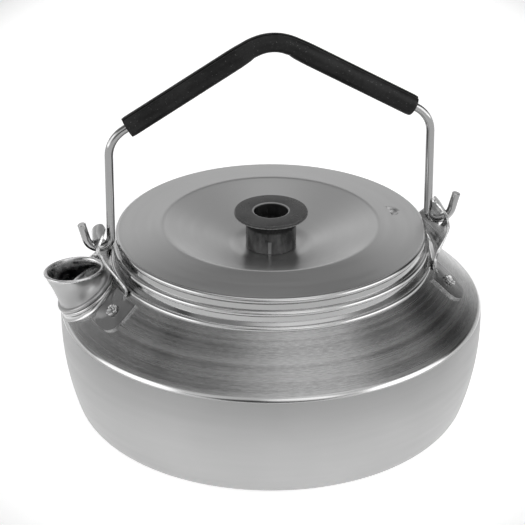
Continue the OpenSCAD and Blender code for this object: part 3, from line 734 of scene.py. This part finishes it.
for chain, (_, _, slot_number) in zip(laid, chains):
    for a, b in zip(chain, chain[1:]):
        lay(a, b, slot_number)
lay(laid[1][-1], laid[2][0], 0)
lay(laid[2][-1], laid[3][0], 2)
lay(laid[4][-1], laid[0][0], 2)
open_ring = [pressed((vent_dist, 0), a - vent_turn) > 1e-6 for a in lid_angles]
for k in range(len(lid_angles)):
    n = (k + 1) % len(lid_angles)
    if open_ring[k] or open_ring[n]:
        for top, under in ((laid[0][-1], laid[4][0]), (laid[1][0], laid[3][-1])):
            face = lid_shell.faces.new((top[k], top[n], under[n], under[k]))
            face.material_index = 1

rim_metal = Finish("burnished_lid_rim", 0.6, 0.22)
rim_marks = rim_metal.noise(rim_metal.turned_place(1.5, 900, 900), 1.0, 2)
rim_metal.polish(rim_marks, 0.12, 0.21)
rim_metal.bump(rim_marks, 0.008)
lid = finish_shell("pressed_lid", lid_shell,
                   [lid_metal.material, rim_metal.material, inner.material])
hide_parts("lid")
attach(lid, "lid")


# The knob: a hollow spool moulded in black phenolic, pushed through the lid from above. Its
# flange's lower edge and its hole's lip carry a painted highlight flecked like wear, a small slot
# in its body at the front is painted light, and its hole and the band under its flange are painted
# darker, as painted shade. The ring under the lid that holds it keeps its CAD shape.
knob_r, flange_r, flange_t, hollow_r, knob_h, knob_floor = 8.9, 13.0, 1.7, 6.05, 13.3, 1.2
retainer_t, shank_past, knob_edge = 0.6, 1.2, 0.5
knob_top = floor_z + knob_h
flange_z = knob_top - flange_t
shank_end = floor_z - lid_wall - retainer_t - shank_past
slot_turn, slot_w, slot_h, slot_depth = radians(256), 1.2, 4.6, 0.7

phenolic = Finish("black_phenolic", 0.03, 0.3, 0.0)
mould_bloom = phenolic.noise(phenolic.place, 120, 4, 0.6)
specks = phenolic.noise(phenolic.place, 2400, 2, 0.6)
knob_out, knob_up = phenolic.from_axis(), phenolic.height()


def by_radius(low, high, start, end):
    """A value that changes between two distances from the knob's axis, in millimetres."""
    return phenolic.spread(knob_out, low, high, start * mm, end * mm)


def by_height(low, high, start, end):
    """A value that changes between two heights, in millimetres."""
    return phenolic.spread(knob_up, low, high, start * mm, end * mm)


def both(a, b):
    """Where two values both hold."""
    return phenolic.math("MULTIPLY", a, b)


# Painted highlight, flecked by the specks: a light line round the flange's lower edge.
flange_edge_highlight = both(both(by_radius(0.0, 0.5, flange_r - 0.6, flange_r),
                      phenolic.spread(specks, 0.2, 1.0, 0.4, 0.6)),
                 by_height(1.0, 0.12, knob_top - 1.35, knob_top - 0.95))
# Painted highlight: a faint light ring round the top of the hole's lip.
lip_highlight = both(by_radius(0.3, 0.0, hollow_r + 0.25, hollow_r + 0.75),
                by_height(0.0, 1.0, knob_top - 0.5, knob_top - 0.15))
# Painted highlight: the slot's floor is painted light.
slot_highlight = both(both(by_radius(0.34, 0.0, knob_r - slot_depth + 0.1, knob_r - 0.2),
                      by_radius(0.0, 1.0, shank_r - 0.2, shank_r + 0.4)),
                 by_height(1.0, 0.0, floor_z + slot_h, floor_z + slot_h + 0.3))
streaks = phenolic.noise(phenolic.turned_place(2.6, 0, 110), 1.0, 4, 0.6)
# Painted shade under the flange: 1 low on the body and 0.1 in the band just under the flange, where
# the streaks' lighter tone and the specular level are taken away.
below_flange_shade = by_height(1.0, 0.1, flange_z - 4.0, flange_z - 3.2)
on_flange = phenolic.math("MAXIMUM", by_radius(0.0, 1.0, knob_r + 0.9, knob_r + 1.7),
                          by_height(0.0, 1.0, knob_top - 0.9, knob_top - 0.6))
# The specular level is dulled in the band under the flange and in the upper part of the hole, as
# painted shade.
sheen = phenolic.math("MAXIMUM", below_flange_shade, on_flange)
phenolic.join(both(sheen, 0.38), phenolic.shader.inputs["Specular IOR Level"])
# Specks and mould bloom are the moulding's own tone; the flange edge, the hole's lip and the slot
# add painted highlights, and the streaks stop short of the painted shade under the flange.
wear_and_highlights = phenolic.spread(mould_bloom, 0.01, 0.05, 0.3, 0.75)
for wear in (phenolic.spread(specks, 0.0, 0.14, 0.64, 0.78), flange_edge_highlight, lip_highlight,
             both(phenolic.spread(streaks, 0.0, 0.13, 0.35, 0.75), below_flange_shade), slot_highlight):
    wear_and_highlights = phenolic.math("ADD", wear_and_highlights, wear)
# Painted shade: the tone falls to 0.15 of itself inside the hole.
phenolic.tone(both(wear_and_highlights, by_radius(0.15, 1.0, hollow_r - 0.25, hollow_r + 0.35)))
phenolic.polish(mould_bloom, 0.22, 0.42)
phenolic.bump(mould_bloom, 0.08)
phenolic.bump(specks, 0.01)

knob_path = points((0, shank_end), (shank_r - 0.3, shank_end), (shank_r, shank_end + 0.3),
                   (shank_r, floor_z), (knob_r - 0.15, floor_z))
knob_path += straight((knob_r, floor_z + 0.15), (knob_r, flange_z - 1), 24)
for before, at, after, radius, steps in (
        ((knob_r, floor_z), (knob_r, flange_z), (flange_r, flange_z), 1, 6),
        ((knob_r, flange_z), (flange_r, flange_z), (flange_r, knob_top), 0.68, 8),
        ((flange_r, flange_z), (flange_r, knob_top), (hollow_r, knob_top), knob_edge, 6),
        ((flange_r, knob_top), (hollow_r, knob_top), (hollow_r, shank_end), knob_edge, 8)):
    knob_path += round_corner(before, at, after, radius, steps)
hollow_z = shank_end + knob_floor
knob_path += points((hollow_r, hollow_z + 0.5), (hollow_r - 0.5, hollow_z), (0, hollow_z))
half_slot = math.asin(slot_w / 2 / knob_r)
slot_steps = (-1.04, -1, -0.9, -0.5, 0, 0.5, 0.9, 1, 1.04)
knob_angles = sorted([slot_turn + half_slot * s for s in slot_steps] +
                     [slot_turn + radians(6 + 2 * i) for i in range(175)])
knob_rings = spun(knob_path, knob_angles)
for p, ring in zip(knob_path, knob_rings):
    if abs(p.x - knob_r) < 0.2 and floor_z < p.y < floor_z + slot_h:
        for k, turn in enumerate(knob_angles):
            if abs(turn - slot_turn) < half_slot * 1.01:
                keep = (knob_r - slot_depth) / p.x
                ring[k] = (ring[k][0] * keep, ring[k][1] * keep, ring[k][2])
knob = skin("spool_knob", knob_rings, [phenolic.material], loop=False, sharp=45)
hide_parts("lid_knob")
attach(knob, "lid")

ring_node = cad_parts["knob_retainer"]
ring_node.data.materials.clear()
ring_node.data.materials.append(stainless.material)


# The bail: one length of 3 mm drawn stainless wire, bent at a peak and two shoulders, with an open
# hook at each end that goes through the ear's hole from inside. It is bright and faintly marked.
wire_r = 1.5
leg_x, hook_z, hook_in, hook_out, hook_turn, hook_h = 57.1, 68.032, 3.8, 5.1, radians(75), 9.6
peak_z, arm_slope, peak_bend, shoulder_bend = 143.0, 30.8, 15.0, 11.0
tip_close, tip_round, tip_run = 0.0001, 0.86, 0.2
arm_way = Vector((-cos(radians(arm_slope)), sin(radians(arm_slope))))

wire_metal = Finish("drawn_stainless_wire", 0.52, 0.2)
draw_marks = wire_metal.noise(wire_metal.place, 900, 3)
wire_metal.polish(draw_marks, 0.08, 0.18)
wire_metal.bump(draw_marks, 0.012)

peak_c = Vector((0, peak_z - peak_bend / cos(radians(arm_slope))))
corner = Vector((leg_x, peak_z - leg_x * tan(radians(arm_slope))))
bend_run = shoulder_bend * tan(radians(90 - arm_slope) / 2)
leg_top = Vector((leg_x, corner.y - bend_run))
hook_c = Vector((leg_x + hook_in, hook_z + hook_out))
rise = hook_c + Vector((sin(hook_turn), -cos(hook_turn))) * hook_out
tip = rise + Vector((cos(hook_turn), sin(hook_turn))) * \
    ((hook_z + hook_h - rise.y) / sin(hook_turn))
peak_arc = arc(peak_c, peak_bend, 90, 90 - arm_slope, 12)
arm_end = corner + arm_way * bend_run
half_wire = peak_arc + straight(peak_arc[-1], arm_end, 20)[1:]
half_wire += arc((leg_x - shoulder_bend, leg_top.y), shoulder_bend, 90 - arm_slope, 0, 16)
half_wire += straight(leg_top, (leg_x, hook_z + hook_in), 16)[1:]
half_wire += arc((leg_x + hook_in, hook_z + hook_in), hook_in, 180, 270, 14)
half_wire += arc(hook_c, hook_out, 270, 270 + degrees(hook_turn), 14)[1:] + \
    straight(rise, tip, 6)[1:] + [tip]
wire_line = [Vector((-p.x, p.y)) for p in reversed(half_wire)][:-1] + half_wire


def drawn(line, section):
    """Rings of a section, as (outward, forward), carried along a line in the bail's plane."""
    rings = []
    for i, p in enumerate(line):
        way = (line[min(i + 1, len(line) - 1)] - line[max(i - 1, 0)]).normalized()
        out = Vector((-way.y, way.x))
        rings.append([(p.x + out.x * a, -b, p.y + out.y * a) for a, b in section(i)])
    return rings


def wire_section(i):
    """The wire's round section, closed and a little rounded off at both tips."""
    end = min(i, len(wire_line) - 1 - i)
    r = wire_r * (tip_close if end == 0 else tip_round if end == 1 else 1.0)
    return [(r * cos(k), r * sin(k)) for k in even_turn(32)]


first, last = wire_line[0], wire_line[-1]
first_in, last_in = (wire_line[1] - first).normalized(), (wire_line[-2] - last).normalized()
wire_line = [first, first + first_in * 0.001, first + first_in * tip_run] + wire_line[1:-1] + \
    [last + last_in * tip_run, last + last_in * 0.001, last]
bail = skin("bail_wire_drawn", drawn(wire_line, wire_section), [wire_metal.material],
            loop=False, sharp=40)
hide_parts("bail_wire")
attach(bail, "bail")


# The grip: a black synthetic sleeve, slit along its length and snapped over the wire. It is cut off
# square at both ends, drawn thinner over the bail's peak, and creased a little underneath on each
# side of the peak.
grip_out, grip_bore, grip_x = 3.8, 1.55, 50.5
slit_half, slit_turn = 0.25, radians(13)
peak_thin, peak_reach, crease_deep, crease_x, crease_wide = 0.42, 9.5, 0.25, 7.6, 0.9
cut_round, slit_round = 0.12, 0.15
steps_round = 48

sleeve = Finish("black_sleeve", 0.02, 0.5, 0.0)
sleeve_grain = sleeve.noise(sleeve.place, 900, 3)
dust = sleeve.noise(sleeve.place, 1900, 2, 0.6)
handled = sleeve.noise(sleeve.place, 75, 4, 0.6)
sleeve_tones = sleeve.math("ADD", sleeve.spread(sleeve_grain, 0.002, 0.007),
                           sleeve.spread(handled, 0.0, 0.012, 0.45, 0.7))
sleeve.tone(sleeve.math("ADD", sleeve_tones, sleeve.spread(dust, 0.0, 0.2, 0.66, 0.8)))
sleeve.shader.inputs["Specular IOR Level"].default_value = 0.32
sleeve.polish(handled, 0.34, 0.6)
sleeve.bump(sleeve_grain, 0.05)

grip_end = Vector((grip_x, peak_z - grip_x * tan(radians(arm_slope))))
half_grip = peak_arc + straight(peak_arc[-1], grip_end, 40)[1:] + [grip_end]
grip_line = [Vector((-p.x, p.y)) for p in reversed(half_grip)][:-1] + half_grip


def sleeve_section(i):
    """The slit sleeve's section: round its outside from the slit, and back round its bore."""
    from_peak = abs(grip_line[i].x)
    thin = peak_thin * math.exp(-(from_peak / peak_reach) ** 4)
    crease = crease_deep * math.exp(-((from_peak - crease_x) / crease_wide) ** 2)
    outer = grip_out - thin - (cut_round if i in (0, len(grip_line) - 1) else 0)

    def turned(k, radius):
        gap = slit_half / radius
        return slit_turn + gap + (2 * math.pi - 2 * gap) * k / steps_round

    ring = []
    for k in range(steps_round + 1):
        a = turned(k, grip_out)
        r = outer - crease * max(0, -cos(a)) ** 3 - (slit_round if k in (0, steps_round) else 0)
        ring.append((r * cos(a), r * sin(a)))
    for k in range(steps_round, -1, -1):
        a = turned(k, grip_bore)
        ring.append((grip_bore * cos(a), grip_bore * sin(a)))
    return ring


grip_rings = drawn(grip_line, sleeve_section)
grip_shell = bmesh.new()
grid = [[grip_shell.verts.new(Vector(p) * mm) for p in ring] for ring in grip_rings]
around = 2 * (steps_round + 1)
for a, b in zip(grid, grid[1:]):
    for k in range(around):
        n = (k + 1) % around
        grip_shell.faces.new((a[k], a[n], b[n], b[k])).smooth = True
for ring in (grid[0], grid[-1]):
    for k in range(steps_round):
        grip_shell.faces.new((ring[k], ring[k + 1], ring[around - 2 - k], ring[around - 1 - k]))
grip = finish_shell("slit_sleeve", grip_shell, [sleeve.material], 45)
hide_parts("bail_grip")
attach(grip, "bail")


# The studio: a backlit white table in a pale room, bright near the horizon and dimmer overhead,
# with a few lighter and darker panels, which the metal mirrors. Three broad lamps, which it doesn't
# mirror, fill in. The camera stands where the photo's stood.
view_turn, view_lift, view_far = radians(-11), radians(26.63), 1.0
aim_side, aim_z, photo_px, photo_focal_px = -3.01, 56.25, 525, 2809.3
right = Vector((cos(view_turn), sin(view_turn), 0))
back = Vector((-sin(view_turn), cos(view_turn), 0))

table = bpy.data.meshes.new("table_top")
table.from_pydata([(-4, -4, 0), (4, -4, 0), (4, 4, 0), (-4, 4, 0)], [], [(0, 1, 2, 3)])
table_finish = Finish("pale_table", 0.8, 0.9, 0.0)
table_finish.tone(table_finish.spread(table_finish.noise(table_finish.place, 6, 2), 0.79, 0.81))
table_finish.shader.inputs["Emission Color"].default_value = (1, 1, 1, 1)


def backlight(behind, half_side, half_depth, fade_to, amount):
    """Light through an oval of the table, its middle behind the pot's, that fades outward."""
    turned = table_finish.node("VectorRotate", rotation_type="Z_AXIS")
    table_finish.join(table_finish.vector("SUBTRACT", table_finish.place, back * behind),
                      turned.inputs["Vector"])
    turned.inputs["Angle"].default_value = -view_turn
    reach = table_finish.vector("LENGTH", table_finish.vector("MULTIPLY", turned.outputs[0],
                                                              (1 / half_side, 1 / half_depth, 0)))
    fade = table_finish.node("MapRange", interpolation_type="SMOOTHSTEP")
    table_finish.join(reach, fade.inputs["Value"])
    set_range(fade, 1.0, fade_to, amount, 0.0)
    return fade.outputs["Result"]


# The table's glow is painted light: a broad oval round the pot and a small pool at its foot that
# lifts the pot's shadow.
table_finish.join(table_finish.math("ADD", backlight(0.178, 0.15, 0.268, 1.33, 0.44),
                                    backlight(0.0, 0.07, 0.07, 1.7, 0.22)),
                  table_finish.shader.inputs["Emission Strength"])
table.materials.append(table_finish.material)
table_top = bpy.data.objects.new("table_top", table)
put(table_top)


def soft_box(name, side, behind, height, width, tall, watts):
    """A broad lamp aimed at the kettle, placed as the camera sees it and not mirrored."""
    lamp = bpy.data.lights.new(name, "AREA")
    lamp.shape, lamp.size, lamp.size_y, lamp.energy = "RECTANGLE", width, tall, watts
    thing = bpy.data.objects.new(name, lamp)
    thing.location = right * side + back * behind + Vector((0, 0, height))
    aimed = (Vector((0, 0, 0.05)) - thing.location).to_track_quat("-Z", "Y")
    thing.rotation_euler = aimed.to_euler()
    thing.visible_glossy = False
    put(thing)


soft_box("over", 0.0, 0.1, 1.6, 1.6, 1.6, 5.5)
soft_box("left", -1.3, -0.2, 0.9, 0.9, 0.9, 1.5)
soft_box("right", 1.3, -0.2, 0.9, 0.9, 0.9, 1.5)

world = bpy.data.worlds.new("panel_room")
bpy.context.scene.world = world
world.use_nodes = True
room, wires = world.node_tree.nodes, world.node_tree.links
seen_way = room.new("ShaderNodeTexCoord").outputs["Generated"]
upward = room.new("ShaderNodeSeparateXYZ")
wires.new(seen_way, upward.inputs[0])
bands = room.new("ShaderNodeValToRGB")
wires.new(upward.outputs["Z"], bands.inputs["Fac"])
ramp = bands.color_ramp
ramp.interpolation = "EASE"
for spot, grey in ((0.0, 1.0), (0.2, 1.0), (0.42, 0.78), (0.6, 0.62), (0.76, 0.6), (0.88, 0.5),
                   (1.0, 0.48)):
    stop = ramp.elements.new(spot) if 0 < spot < 1 else ramp.elements[int(spot)]
    stop.color = (grey, grey, grey, 1)


def room_math(what, a, b):
    """One step of arithmetic in the room's nodes."""
    step = room.new("ShaderNodeMath")
    step.operation = what
    for socket, value in zip(step.inputs, (a, b)):
        if isinstance(value, (int, float)):
            socket.default_value = value
        else:
            wires.new(value, socket)
    return step.outputs[0]


def patch(side, behind, up, edge, core, amount):
    """How strongly a round panel in that direction lights the room, from its edge to its core."""
    toward = room.new("ShaderNodeVectorMath")
    toward.operation = "DOT_PRODUCT"
    wires.new(seen_way, toward.inputs[0])
    panel_way = right * side + back * behind + Vector((0, 0, up))
    toward.inputs[1].default_value = panel_way.normalized()
    step = room.new("ShaderNodeMapRange")
    step.interpolation_type = "SMOOTHSTEP"
    set_range(step, edge, core, 0.0, amount)
    wires.new(toward.outputs["Value"], step.inputs["Value"])
    return step.outputs["Result"]


glow = bands.outputs["Color"]
for panel in (
        patch(0.0, -1.0, 0.0, 0.76, 0.98, -0.75),       # dark, low in front: the shoulder's front
        patch(0.0, 0.73, 0.68, 0.94, 0.995, -0.5),      # dark, behind and above: the lid's front
        patch(-0.45, -0.22, 0.86, 0.92, 0.975, -0.28),  # dim, overhead to the left
        patch(0.75, 0.27, 0.6, 0.85, 0.95, -0.42),      # dim, to the right
        patch(-0.75, 0.27, 0.6, 0.85, 0.95, -0.42),     # dim, to the left
        patch(0.68, 0.66, 0.3, 0.85, 0.97, -0.35),      # dim, behind to the right
        patch(0.3, -0.3, 0.9, 0.93, 0.985, 0.3),        # light, overhead to the right
        patch(0.25, -0.85, 0.46, 0.92, 0.98, 0.75),     # light, in front to the right: the shoulder
        patch(0.95, -0.25, 0.18, 0.87, 0.94, 1.2),      # bright, low right: the ridge and the neck
        patch(-0.95, -0.25, 0.18, 0.87, 0.94, 1.1)):    # bright, low left: the ridge and the neck
    glow = room_math("ADD", glow, panel)
wires.new(room_math("MAXIMUM", glow, 0.05), room["Background"].inputs["Strength"])
room["Background"].inputs["Color"].default_value = (1, 1, 1, 1)

eye = bpy.data.cameras.new("photo_view")
eye.sensor_width, eye.clip_start, eye.clip_end = 36, 0.01, 20
eye.lens = photo_focal_px * eye.sensor_width / photo_px
camera = bpy.data.objects.new("photo_view", eye)
aim = right * (aim_side * mm) + Vector((0, 0, aim_z * mm))
out_way = back * -cos(view_lift) + Vector((0, 0, sin(view_lift)))
camera.location = aim + out_way * view_far
camera.rotation_euler = out_way.to_track_quat("Z", "Y").to_euler()
put(camera)
bpy.context.scene.camera = camera
bpy.context.scene.view_settings.view_transform = "Standard"
